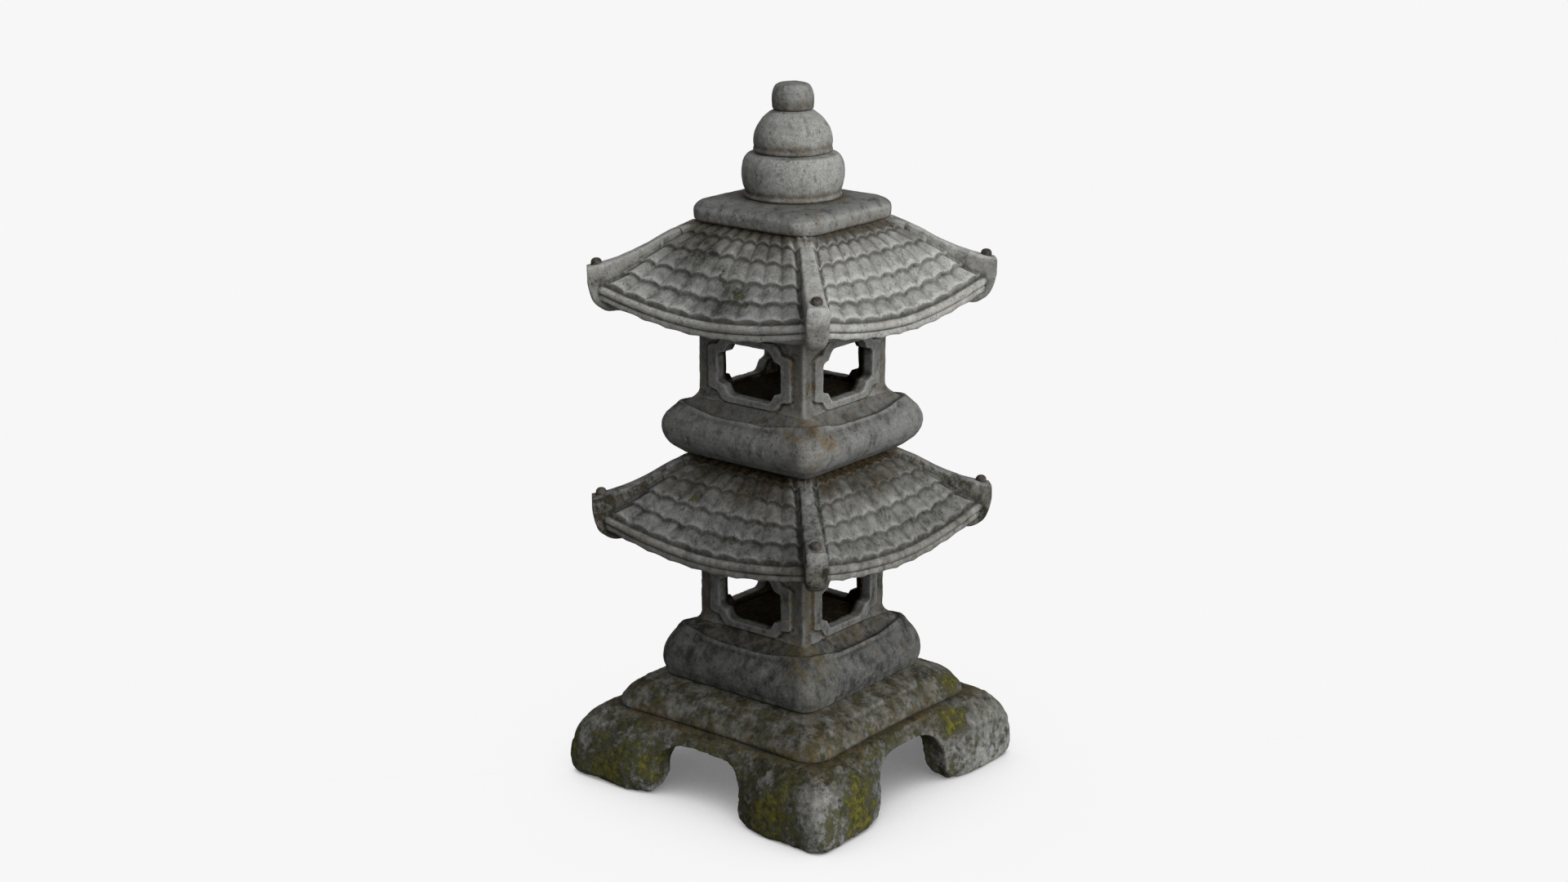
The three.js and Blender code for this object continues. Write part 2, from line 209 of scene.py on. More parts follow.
def turned(points, turn):
    """The points turned about Z, in radians."""
    c, s = math.cos(turn), math.sin(turn)
    return points @ np.array([[c, s, 0], [-s, c, 0], [0, 0, 1]])


# ---- meshes

def add_object(name, data):
    made = bpy.data.objects.new(name, data)
    bpy.context.scene.collection.objects.link(made)
    return made


def shell_object(name, shell):
    points, faces = shell
    mesh = bpy.data.meshes.new(name)
    mesh.from_pydata((points * MM).tolist(), [], faces)
    mesh.update()
    return add_object(name, mesh)


def remove(piece):
    mesh = piece.data
    bpy.data.objects.remove(piece)
    bpy.data.meshes.remove(mesh)


def carve(name, shell, steps, voxel=None):
    """Starts from a shell, takes the (operation, shell) steps in turn, and covers the result evenly."""
    stone = shell_object(name, shell)
    tools = []
    for operation, tool_shell in steps:
        tool = shell_object(name + "_tool", tool_shell)
        change = stone.modifiers.new("change", "BOOLEAN")
        change.operation = operation
        change.solver = "EXACT"
        change.object = tool
        tools.append(tool)
    if voxel is not None:
        even = stone.modifiers.new("even", "REMESH")
        even.mode = "VOXEL"
        even.voxel_size = voxel * MM
    evaluated = stone.evaluated_get(bpy.context.evaluated_depsgraph_get())
    mesh = bpy.data.meshes.new_from_object(evaluated)
    mesh.name = name
    for spent in [stone, *tools]:
        remove(spent)
    return add_object(name, mesh)


def flatten_bed(piece, low=-math.inf, high=math.inf, beyond=0):
    """Presses a stone's bed flat: no point further out than beyond lies under low or over high."""
    points = read_points(piece.data)
    outside = plan_place(points)[0] > beyond
    points[outside, 2] = np.clip(points[outside, 2], low, high)
    write_points(piece.data, points)
    return piece


def eased(past, ease):
    """Slows the distance past a line, so that it never gets beyond ease."""
    return ease * (1 - np.exp(-past / ease))


def hold_within(piece, half, ease):
    """Eases a stone's bumps back, over the last stretch, so that none passes half from the middle."""
    points = read_points(piece.data)
    plan = points[:, :2]
    past = np.maximum(np.abs(plan) - (half - ease), 0)
    points[:, :2] = np.sign(plan) * (np.abs(plan) - past + eased(past, ease))
    write_points(piece.data, points)


def read_rows(items, field, width, kind=np.float32):
    flat = np.empty(len(items) * width, kind)
    items.foreach_get(field, flat)
    return flat.reshape(-1, width)


def read_points(mesh):
    return read_rows(mesh.vertices, "co", 3).astype(float) / MM


def write_points(mesh, points):
    mesh.vertices.foreach_set("co", (points * MM).astype(np.float32).ravel())
    mesh.update()


def read_normals(mesh):
    return read_rows(mesh.vertex_normals, "vector", 3).astype(float)


def relaxed(values, edges, rounds):
    """Each vertex's values averaged with its neighbours', rounds times over."""
    a, b = edges[:, 0], edges[:, 1]
    count = len(values)
    degree = np.bincount(a, minlength=count) + np.bincount(b, minlength=count)
    for _ in range(rounds):
        total = np.stack([
            np.bincount(a, column[b], minlength=count) + np.bincount(b, column[a], minlength=count)
            for column in values.T
        ], 1)
        values = 0.5 * values + 0.5 * total / degree[:, None]
    return values


def raise_mask(masks, name, values):
    masks[name] = np.maximum(masks[name], values)


def weather(piece, seed, wear, lumps, grain, still, contacts=(), spots=()):
    """Wears a stone: rounds its edges, makes its faces uneven, and marks where it is worn or stained, and
    where shade and highlights are painted.

    wear is how far its edges are rounded, lumps how uneven its faces are, and grain how rough they are.
    still(points) is 1 where the stone must stay true. contacts are (half side or radius, height, is square)
    of the lines where another stone meets this one. spots are (mask, x, y, z, radius, strength).
    Gives the new points, their normals and the masks, which are 0 to 1 for each point.
    """
    mesh = piece.data
    edges = read_rows(mesh.edges, "vertices", 2, np.int32)
    sharp = read_points(mesh)
    soft = relaxed(sharp, edges, max(1, round(2 * wear)))
    hold = still(sharp)
    points = sharp * hold[:, None] + soft * (1 - hold[:, None])
    write_points(mesh, points)
    normals = read_normals(mesh)
    push = lumps * (0.9 * layered(points, 70, seed) + 0.75 * layered(points, 26, seed + 7))
    push += grain * layered(points, 8, seed + 17, 2)
    pits = smooth(0.42, 0.75, noise(points, 4.5, seed + 29)) * smooth(-0.2, 0.5, noise(points, 30, seed + 31))
    push -= 0.9 * grain * pits
    points = points + normals * (push * (1 - hold))[:, None]
    write_points(mesh, points)
    normals = read_normals(mesh)
    # Concave places get the crease mask, which darkens them with dirt and painted shade; convex places get
    # the edge mask, which lightens them with wear and painted highlight.
    near = np.sum((relaxed(points, edges, 6) - points) * normals, 1)
    wide = np.sum((relaxed(points, edges, 40) - points) * normals, 1)
    bare = 1 - still(points)
    masks = {
        "crease": relaxed((near * 1.6 + wide * 0.35)[:, None], edges, 1)[:, 0] * bare,
        "edge": (-near * 1.8 - wide * 0.12) * bare,
    }
    for name in ("joint", "moss", "soil_and_shade", "rust", "grime_and_shade"):
        masks[name] = np.zeros(len(points))
    # Where another stone meets this one, the crease mask darkens the joint: painted shade as well as dirt.
    for half, height, square in contacts:
        level = plan_place(points)[0] if square else np.hypot(points[:, 0], points[:, 1])
        gap = np.hypot(level - half, points[:, 2] - height)
        raise_mask(masks, "joint", bell(gap, 9))
        raise_mask(masks, "crease", 0.55 * bell(gap, 5))
    for mask, x, y, z, radius, strength in spots:
        gap = np.linalg.norm(points - [x, y, z], axis=1)
        raise_mask(masks, mask, strength * bell(gap, radius))
    return points, normals, masks


def finish_piece(piece, body, node, material, masks=None):
    """Stores the masks for the looks to read, and puts the piece in its node's place."""
    mesh = piece.data
    for name, values in (masks or {}).items():
        attribute = mesh.attributes.new(name, "FLOAT", "POINT")
        attribute.data.foreach_set("value", np.clip(values, 0, 1).astype(np.float32))
    mesh.shade_smooth()
    mesh.materials.clear()
    mesh.materials.append(material)
    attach(piece, body)
    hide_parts(node)


# ---- stones

DOWEL_HOLE = 8.3
ROD_HOLE = 6.3
HOLE_DEPTH = 17
STUB_DEPTH = 6
TENON_HALF = 65
TENON_RISE = 8
BOX_HALF = 84.5
BOX_WALL = 15
BOX_RISE = 99.4
WINDOW_ABOVE_BED = 43.7
GROOVE_DEPTH = 1.8
MOULDING_PROUD = 3.8
ARCH_HALF = 73
ARCH_TOP = 73.5
BRIDGE_INSET = 15
FOOT_REACH = 212.4
# How far a bed's outline runs on past its bed, which flatten_bed then presses flat.
BED_OVERRUN = 1.2
# Further out than any stone reaches, for tools that cut right through one.
THROUGH = 230


def rounding(share):
    """The corner share of each ring of a stone: round for its dowel hole, nearly square for its tenon."""
    square_up_to, rounded_from = TENON_HALF + 25, TENON_HALF + 43

    def corner(half):
        if half < 12:
            return 1.0
        return np.interp(half, [square_up_to, rounded_from], [0.04, share])

    return corner


def bottom_hole(bed):
    return [(DOWEL_HOLE, bed + HOLE_DEPTH), (DOWEL_HOLE, bed)]


def top_hole(top):
    return [(DOWEL_HOLE, top), (DOWEL_HOLE, top - HOLE_DEPTH)]


def arch_bar(turn):
    """The bar that cuts two opposite arches, which are half wide between the feet."""
    half = ARCH_HALF
    side = spline([(half + 17, -2), (half + 6, 2.5), (half, 13), (half - 2.5, 33), (half - 6, 50),
                   (half - 15, 63), (half - 33, 71), (half - 53, ARCH_TOP), (0, ARCH_TOP)], 5)
    outline = np.vstack([side, side[-2::-1] * [-1, 1]])
    return bar_shell(outline, -THROUGH, THROUGH, turn)


def draw_in(ring):
    """Draws the sides of the foot stone in between its feet, more so lower down."""
    half, along = plan_place(ring)
    inset = BRIDGE_INSET * np.clip((half - 172) / 30, 0, 1) * (1 - smooth(62, 118, along))
    axis = np.abs(ring[:, :2]).argmax(1)
    rows = np.arange(len(ring))
    ring[rows, axis] -= np.sign(ring[rows, axis]) * inset
    return ring


def make_base_plinth():
    top = node_top("base_plinth")
    outer = spline([(205.5, 0), (210, 5), (212.3, 14), (212.3, 28), (210.5, 44), (207, 58), (202, 69.5),
                    (194, 80), (184, 88.4), (177, 92), (171, top - 0.6)], 3)
    outline = [*outer, (168, top + 1), *top_hole(top + 1)]
    hollow = spline([(190, -3), (180, 1.5), (170, 8), (164.5, 16), (162.5, 26), (161, 42), (157, 58),
                     (148, 68)], 3)
    shell = square_shell(outline, outline, rounding(0.1), 160, draw_in)
    cavity = square_shell(hollow, hollow, rounding(0.14), 96)
    cuts = [("DIFFERENCE", tool) for tool in (cavity, arch_bar(0), arch_bar(math.pi / 2))]
    return flatten_bed(carve("base_stone", shell, cuts, PLAIN_VOXEL), high=top)


def make_step_plinth():
    bed, top = STEP_BED, node_top("step_plinth")
    side = spline([(167.5, bed - BED_OVERRUN), (169.4, bed + 1), (169.6, bed + 5), (167, bed + 11),
                   (163.3, bed + 16.5), (159.3, bed + 21.5), (152, bed + 27.5), (144.5, bed + 31.5),
                   (137, bed + 34.5), (128, bed + 37.5), (118, top)], 3)
    outline = [*bottom_hole(bed), *side, *top_hole(top)]
    middle = [(half - 4 * (half > 150), z) for half, z in outline]
    shell = square_shell(middle, outline, rounding(0.2), 96)
    return flatten_bed(carve("step_stone", shell, [], PLAIN_VOXEL), low=bed)


def platform_top(top):
    """The rim of a platform, the cove inside it and the tenon: at a side's middle, and at a corner."""
    over = top + BED_OVERRUN
    tenon = [(TENON_HALF, over), (TENON_HALF, top + TENON_RISE)]
    middle = [(113.6, top - 15.4), (112, top - 13.4), (110.6, top - 12.6), (109.4, top - 13),
              (107.4, top - 15.6), (104.5, top - 15.2), (97, top - 10.6), (91, top - 5.6), (86.3, top),
              (85.3, over)]
    corner = [(110.8, top - 9.6), (108.4, top - 6.4), (107, top - 4.8), (105.8, top - 5.2),
              (103.8, top - 7.4), (101, top - 7), (96.5, top - 3.8), (93, top - 2), (90.1, top),
              (88.4, over)]
    return middle + tenon, corner + tenon


# [half side, height] up the side of each platform's bulge.
LOWER_PILLOW = [(119.5, 0), (121.9, 2.5), (123.2, 8), (125, 14), (125.7, 22.5), (125.4, 31), (124, 36.7),
                (122, 42.4), (119.6, 47.7), (116.6, 53.2), (113, 58.7)]
UPPER_PILLOW = [(95, 0), (100.5, 0.4), (105.8, 3.2), (112, 8.7), (118.1, 14.3), (121.3, 19.9),
                (123.5, 25.3), (124.9, 33), (124.2, 41.5), (122.4, 46.8), (120, 52.1), (115.6, 57.3),
                (112.5, 60.5)]


def make_platform(name, bed, pillow, top):
    """A platform whose sides bulge out further, and lie lower, at their middles than at its corners."""
    rim_middle, rim_corner = platform_top(top)
    edge = [(half, bed + rise) for half, rise in pillow]
    rise = edge[-1][1] - bed
    middle = [(half + 3 * math.sin(math.pi * (z - bed) / rise), z - 5 * smooth(0.5, 1, (z - bed) / rise))
              for half, z in edge]
    lower = bottom_hole(bed)
    shell = square_shell([*lower, *middle, *rim_middle], [*lower, *edge, *rim_corner], rounding(0.17), 128)
    return flatten_bed(carve(name, shell, [], FINE_VOXEL), high=top, beyond=TENON_HALF + 1)


def window_outline(corner, height):
    """A window with stepped corners round a middle at height. corner goes up its upper right corner."""
    quarter = spline(corner, 4)
    right = np.vstack([quarter[::-1] * [1, -1], quarter])
    return np.vstack([right, right[::-1] * [-1, 1]]) + [0, height]


# The upper right corner of the moulding round a window, of the groove round that, and of the opening.
MOULDING = [(66, 18), (66, 25.5), (60, 28.8), (51.5, 30), (49, 33), (43, 40), (35, 42.5), (26, 42.5)]
GROOVE = [(68.5, 18), (68.5, 27.3), (61.5, 31.3), (53.5, 32.3), (51, 35), (44.5, 42.4), (36, 45), (26, 45)]
OPENING = [(50.5, 10), (50.5, 16.5), (45.5, 19.8), (40, 21), (38, 24), (33.5, 31), (27.5, 33.5), (20, 33.5)]


def groove_gap(along, height):
    """How far each place on a wall is from the groove round its window, whose middle is at height 0."""
    corner = np.add(MOULDING, GROOVE) / 2
    gap = np.full(len(along), math.inf)
    for x, z in spline([(corner[0, 0], 0), *corner, (0, corner[-1, 1])], 12):
        gap = np.minimum(gap, np.hypot(np.abs(along) - x, np.abs(height) - z))
    return gap


def make_light_box(name, bed):
    """A box with a flared foot and a window in each wall, open above and below."""
    face, top = BOX_HALF, bed + BOX_RISE
    groove, moulding, opening = (
        window_outline(corner, bed + WINDOW_ABOVE_BED) for corner in (GROOVE, MOULDING, OPENING)
    )
    chamber = [(face - BOX_WALL, bed - 3), (face - BOX_WALL, top + 1)]
    quarters = [side * math.pi / 2 for side in range(4)]
    steps = [("DIFFERENCE", bar_shell(groove, face - GROOVE_DEPTH, face + 9, turn)) for turn in quarters]
    steps += [("UNION", bar_shell(moulding, face - 6, face + MOULDING_PROUD, turn)) for turn in quarters]
    steps.append(("DIFFERENCE", square_shell(chamber, chamber, lambda _: 0.02, 48)))
    steps += [("DIFFERENCE", bar_shell(opening, -99, 99, turn)) for turn in quarters[:2]]
    middle_foot = [(face + 2.1, bed - BED_OVERRUN), (face + 1.7, bed), (face + 1.1, bed + 1.6),
                   (face + 0.5, bed + 4), (face, bed + 7.5)]
    corner_foot = [(face + 6.6, bed - BED_OVERRUN), (face + 5.5, bed), (face + 3.4, bed + 2),
                   (face + 1.3, bed + 5.5), (face, bed + 10)]
    walls = square_shell([*middle_foot, (face, top)], [*corner_foot, (face, top)], lambda _: 0.03, 160)
    return flatten_bed(carve(name, walls, steps, FINE_VOXEL), low=bed)


# ---- roofs

ROOF_RISE = 125.1
STEPS_PER_TILE = 20
MARGIN_STEPS = 14
TILES_PER_SIDE = 9
CORNER_LIFT = 25
# Rings that would pass this reach at a corner are eased back, to stay inside the beaks.
CORNER_REACH = 242
CORNER_EASE = 8
# The half side of the lower edge of each course of tiles, and of the upper edge of the last one.
COURSE_EDGES = [176, 159.5, 144.5, 125.5, 106, 88]
COURSE_LIP = 3.3
TILE_FOOT = 28.2
# The eave's lower edge, between these heights, waves with the tiles.
EAVE_WAVE = 1.6
EAVE_WAVE_LOW, EAVE_WAVE_HIGH = 8, 11
# [half side, height] up the middle of a side, and [reach, height] along the ridges.
ROOF_CURVE = spline([(86, 128), (112.5, 108.5), (129.5, 92), (145.5, 70), (160.5, 47.5), (176, 30),
                     (181, 26.5)], 12)
RIDGE_TOP = spline([(100, 124.2), (124, 124), (140, 119.2), (160, 110.2), (186, 95.6), (218, 81.6),
                    (240, 75), (257, 71)], 8)
RIDGE_FOOT = spline([(100, 100), (160, 60), (205, 19), (222, 14), (234, 14.3), (244, 19.8), (250, 26),
                     (254, 36), (257, 50)], 6)


def lifted(level, along):
    """How much the roof rises towards its corners."""
    return CORNER_LIFT * smooth(120, 176, level) * (along / np.maximum(level, 1)) ** 1.8


def tile_width(level):
    """Every course has as many tiles, so they narrow from the eave, at a half side of 180, to the top."""
    return 36.5 - 0.235 * (180 - level)


def tile_phase(level, along):
    """1 at the middle of a tile and 0 in the valley between two tiles."""
    return np.abs(np.cos(math.pi * along / tile_width(level)))


def ridge_half_width(reach):
    """The ridges widen towards their beaks."""
    return 9 + 4.8 * smooth(120, 235, reach)


def scalloped(level, phase):
    """Where the lower edge of a course runs: arched up over each tile, and lowest between two tiles."""
    return level + 0.8 - 1.7 * phase


def roof_ring(level, height, arched=False):
    """A ring round the roof whose points keep to the tile columns.

    height(level, along, phase) gives each point's height before the corners lift. An arched ring follows
    the arched lower edges of the tiles.
    """
    last = TILES_PER_SIDE / 2
    column = np.arange(-last, last, 1 / STEPS_PER_TILE)
    margin = np.arange(MARGIN_STEPS) / MARGIN_STEPS
    columns = np.concatenate([np.full(MARGIN_STEPS, -last), column, np.full(MARGIN_STEPS, last)])
    beyond = np.concatenate([margin - 1, 0 * column, margin])
    rough = columns * tile_width(level) + beyond * (level - last * tile_width(level))
    phase = tile_phase(level, rough)
    levels = level + (scalloped(0, phase) if arched else 0 * phase)
    widths = tile_width(levels)
    along = columns * widths + beyond * (levels - last * widths)
    z = height(levels, np.abs(along), phase) + lifted(levels, np.abs(along))
    reach = np.hypot(levels, along)
    past = np.maximum(reach - CORNER_REACH, 0)
    within = (reach - past + eased(past, CORNER_EASE)) / reach
    levels, along = levels * within, along * within
    sides = [turned(np.column_stack([levels, along, z]), side * math.pi / 2) for side in range(4)]
    return np.vstack(sides)


def flat_ring(half, rise, arched=False):
    """A ring of the roof that lies flat but for its corners' lift."""
    return roof_ring(half, lambda level, along, phase: rise + 0 * level, arched)


def groove_by_ridge(level, along):
    """The depth of the groove where the tiles meet a ridge."""
    beside = (level - along) / math.sqrt(2) - ridge_half_width(level * math.sqrt(2)) - 2.5
    return 2.6 * bell(beside, 2.4) * smooth(181, 174, level)


def course_rings(lower, upper):
    """The rings of one course of tiles, from the foot of its lower edge up to that of the next course."""
    rings = []
    crown = 1.0 + 1.2 * smooth(150, 105, lower)
    shares = np.array([0, 0.035, 0.09, *np.linspace(0.16, 1.0, 12)])
    for index, share in enumerate(shares):
        lip = COURSE_LIP * (0.8 if index == 0 else 1 - share)

        def height(level, along, phase, lip=lip):
            base = np.interp(level, ROOF_CURVE[:, 0], ROOF_CURVE[:, 1])
            return base + lip + crown * (phase - 0.6) - groove_by_ridge(level, along)

        rings.append(roof_ring(lower + (upper - lower) * share, height, arched=True))
    return rings


def roof_shell():
    """The roof without its ridges, on a bed at height 0.

    From the tenon out along the underside, round the eave's band, groove and roll, and up the tiles.
    """
    under = [(TENON_HALF, -TENON_RISE), (TENON_HALF, 0), (100, 0), (140, 2), (160, 5), (172, 8.2),
             (176.5, 8.8)]
    band = [(179.4, 9.2), (180.6, 10.2), (181, 12), (181, 15), (180, 16.2), (178.6, 16.8), (179.8, 17.4),
            (181.6, 18.4), (182.8, 20), (183.4, 22), (183.1, 24), (182.2, 25.8), (180.8, 27), (179.4, 27.5),
            (178, 27.8)]
    rings = []
    for half, z in [*under, *band]:
        wave = EAVE_WAVE if EAVE_WAVE_LOW < z < EAVE_WAVE_HIGH else 0
        rings.append(roof_ring(half, lambda level, along, phase, z=z, wave=wave: z - wave * (1 - phase)))
    rings.append(flat_ring(COURSE_EDGES[0], TILE_FOOT, arched=True))
    for lower, upper in zip(COURSE_EDGES, COURSE_EDGES[1:]):
        rings += course_rings(lower, upper)
    rings += [flat_ring(half, ROOF_RISE) for half in (84, 78)]
    return np.vstack(rings), tube_faces(len(rings), len(rings[0]))


def ridge_section(half_width, foot, top):
    """A bar's section across the ridge: nearly square above, rounded below."""
    steps = 40
    angle = (np.arange(steps) + 0.5) / steps * 2 * math.pi
    c, s = np.cos(angle), np.sin(angle)
    power = np.where(s > 0, 0.36, 0.52)
    middle, tall = (foot + top) / 2, (top - foot) / 2
    across = half_width * np.sign(c) * np.abs(c) ** power
    return np.column_stack([across, middle + tall * np.sign(s) * np.abs(s) ** power])


def ridge_shell(turn):
    """One ridge, from under the slab out to the rounded end of its beak."""
    reach = np.concatenate([np.linspace(102, 245, 60), np.linspace(246.5, 257, 9)])
    tops = np.interp(reach, RIDGE_TOP[:, 0], RIDGE_TOP[:, 1])
    feet = np.interp(reach, RIDGE_FOOT[:, 0], RIDGE_FOOT[:, 1])
    rings = []
    for r, top, foot in zip(reach, tops, feet):
        section = ridge_section(float(ridge_half_width(r)), foot, top)
        rings.append(np.column_stack([np.full(len(section), r), section]))
    return turned(np.vstack(rings), turn), tube_faces(len(rings), len(rings[0]))


def make_roof():
    """One roof on a bed at height 0, which both storeys share before they are weathered."""
    steps = [("UNION", ridge_shell(math.pi / 4 + side * math.pi / 2)) for side in range(4)]
    hole = round_shell([(DOWEL_HOLE, ROOF_RISE - HOLE_DEPTH), (DOWEL_HOLE, ROOF_RISE + 9)], 32)
    return carve("plain_roof", roof_shell(), [*steps, ("DIFFERENCE", hole)])


def copy_roof(plain, name, bed):
    mesh = plain.data.copy()
    mesh.name = name
    write_points(mesh, read_points(mesh) + [0, 0, bed])
    return add_object(name, mesh)


def make_ridge_knob(name, node):
    """A knob whose stub goes down into the ridge, around the middle of the node's box."""
    low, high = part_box(node)
    x, y = (low.x + high.x) / 2 / MM, (low.y + high.y) / 2 / MM
    seat = low.z / MM + STUB_DEPTH
    outline = spline([(6, seat - 3), (6.9, seat + 1), (7, seat + 5.5), (6.2, seat + 8.6), (4, seat + 10.8),
                      (1.2, seat + 11.4)], 4)
    points, faces = round_shell(outline, 40)
    points += [x, y, 0]
    return carve(name, (points, faces), [], RIDGE_KNOB_VOXEL)


# ---- slab and finial

def make_cap_slab():
    bed, top = SLAB_BED, SLAB_TOP
    side = spline([(92, bed), (95.4, bed + 2.5), (96, bed + 7), (96, bed + 15.5), (93.3, bed + 20.2),
                   (89.5, bed + 23.6), (84, bed + 25.8), (74, bed + 27.2), (62, top)], 3)
    shell = square_shell(side, side, lambda _: 0.31, 96)
    hole = round_shell([(ROD_HOLE, bed - 1), (ROD_HOLE, top + 1)], 32)
    return carve("cap_stone", shell, [("DIFFERENCE", hole)], FINE_VOXEL)


# [radius, height] up the side of each stone of the finial.
LOWER_BULB = [(56, 0), (59.6, 0.6), (60.6, 3), (59.6, 5.6), (57.6, 6.8), (58.8, 8), (60.4, 10),
              (61.9, 14.5), (63, 20.5), (63.8, 27), (63.8, 34), (63, 41), (61.6, 45.4), (59.3, 49.8),
              (55, 53.6), (46, 55.1)]
MIDDLE_BULB = [(46, 0), (48.6, 0.5), (49.4, 2.4), (48.7, 4.4), (46.9, 5.6), (47.9, 6.8), (48.7, 10),
               (48.9, 14.5), (48, 22), (46.4, 26.6), (44.6, 30.6), (41.9, 34.6), (39.2, 38.6), (35.6, 42.6),
               (30.6, 46.6), (26.5, 49.6), (23, 51)]
FINIAL_KNOB = [(23, 0), (24.6, 0.4), (25.5, 2.8), (26, 8), (26, 15.5), (25.4, 19.5), (24.4, 23.4),
               (22.6, 27.4), (19.4, 30.8), (12, 33), (6, 33.5)]


def make_bulb(name, node, outline):
    bed, top = node_bottom(node), node_top(node)
    side = spline([(radius, bed + rise) for radius, rise in outline], 4)
    lowest, highest = outline[0][0] + 1, outline[-1][0] - 1
    shell = round_shell([(14, bed - 1), (lowest, bed - 1), *side, (highest, top + 1), (14, top + 1)], 120)
    return flatten_bed(carve(name, shell, [], BULB_VOXEL), bed, top + BED_GAP)


def make_finial_knob():
    bed = node_bottom("finial_knob")
    side = spline([(radius, bed + rise) for radius, rise in FINIAL_KNOB], 4)
    return carve("finial_knob_stone", round_shell([(5, bed), *side], 120), [], FINIAL_KNOB_VOXEL)


# ---- looks

def srgb(red, green, blue):
    """A colour given as screen values from 0 to 255."""
    parts = [value / 255 for value in (red, green, blue)]
    return tuple(v / 12.92 if v <= 0.04045 else ((v + 0.055) / 1.055) ** 2.4 for v in parts) + (1.0,)


class Look:
    """A material, with short ways to add and join its nodes."""

    def __init__(self, name):
        self.material = bpy.data.materials.new(name)
        self.material.use_nodes = True
        self.tree = self.material.node_tree
        self.shader = self.tree.nodes["Principled BSDF"]
        self.place = self.node("ShaderNodeTexCoord", {}).outputs["Object"]

    def node(self, kind, inputs, **settings):
        node = self.tree.nodes.new(kind)
        for name, value in settings.items():
            setattr(node, name, value)
        for name, value in inputs.items():
            socket = node.inputs[name]
            if isinstance(value, bpy.types.NodeSocket):
                self.tree.links.new(value, socket)
            else:
                socket.default_value = value
        return node

    def noise(self, size, seed, detail, rough=0.55, stretch=(1, 1, 1)):
        """Noise from 0 to 1 whose lumps are about size millimetres across."""
        place = self.node("ShaderNodeMapping", {
            "Vector": self.place, "Location": (seed * 0.37, seed * -0.21, seed * 0.13), "Scale": stretch,
        })
        texture = self.node("ShaderNodeTexNoise", {
            "Vector": place.outputs[0], "Scale": 1 / (size * MM), "Detail": detail, "Roughness": rough,
        })
        return texture.outputs[0]

    def attribute(self, name):
        return self.node("ShaderNodeAttribute", {}, attribute_name=name).outputs["Fac"]

    def ramp(self, value, low, high, start=0.0, end=1.0):
        """start up to low, end from high on, and a soft step between."""
        return self.node("ShaderNodeMapRange", {
            "Value": value, "From Min": low, "From Max": high, "To Min": start, "To Max": end,
        }, interpolation_type="SMOOTHSTEP").outputs[0]

    def math(self, operation, first, second, clamp=False):
        node = self.node("ShaderNodeMath", {0: first, 1: second}, operation=operation, use_clamp=clamp)
        return node.outputs[0]

    def mix(self, share, first, second):
        return self.node("ShaderNodeMix", {0: share, 6: first, 7: second}, data_type="RGBA").outputs[2]

    def bump(self, height, strength, distance, normal=None):
        inputs = {"Height": height, "Strength": strength, "Distance": distance * MM}
        if normal is not None:
            inputs["Normal"] = normal
        return self.node("ShaderNodeBump", inputs).outputs[0]

    def feed(self, name, value):
        self.tree.links.new(value, self.shader.inputs[name])

    def finish(self, colour, roughness, normal):
        self.feed("Base Color", colour)
        self.feed("Roughness", roughness)
        self.feed("Normal", normal)
        return self.material


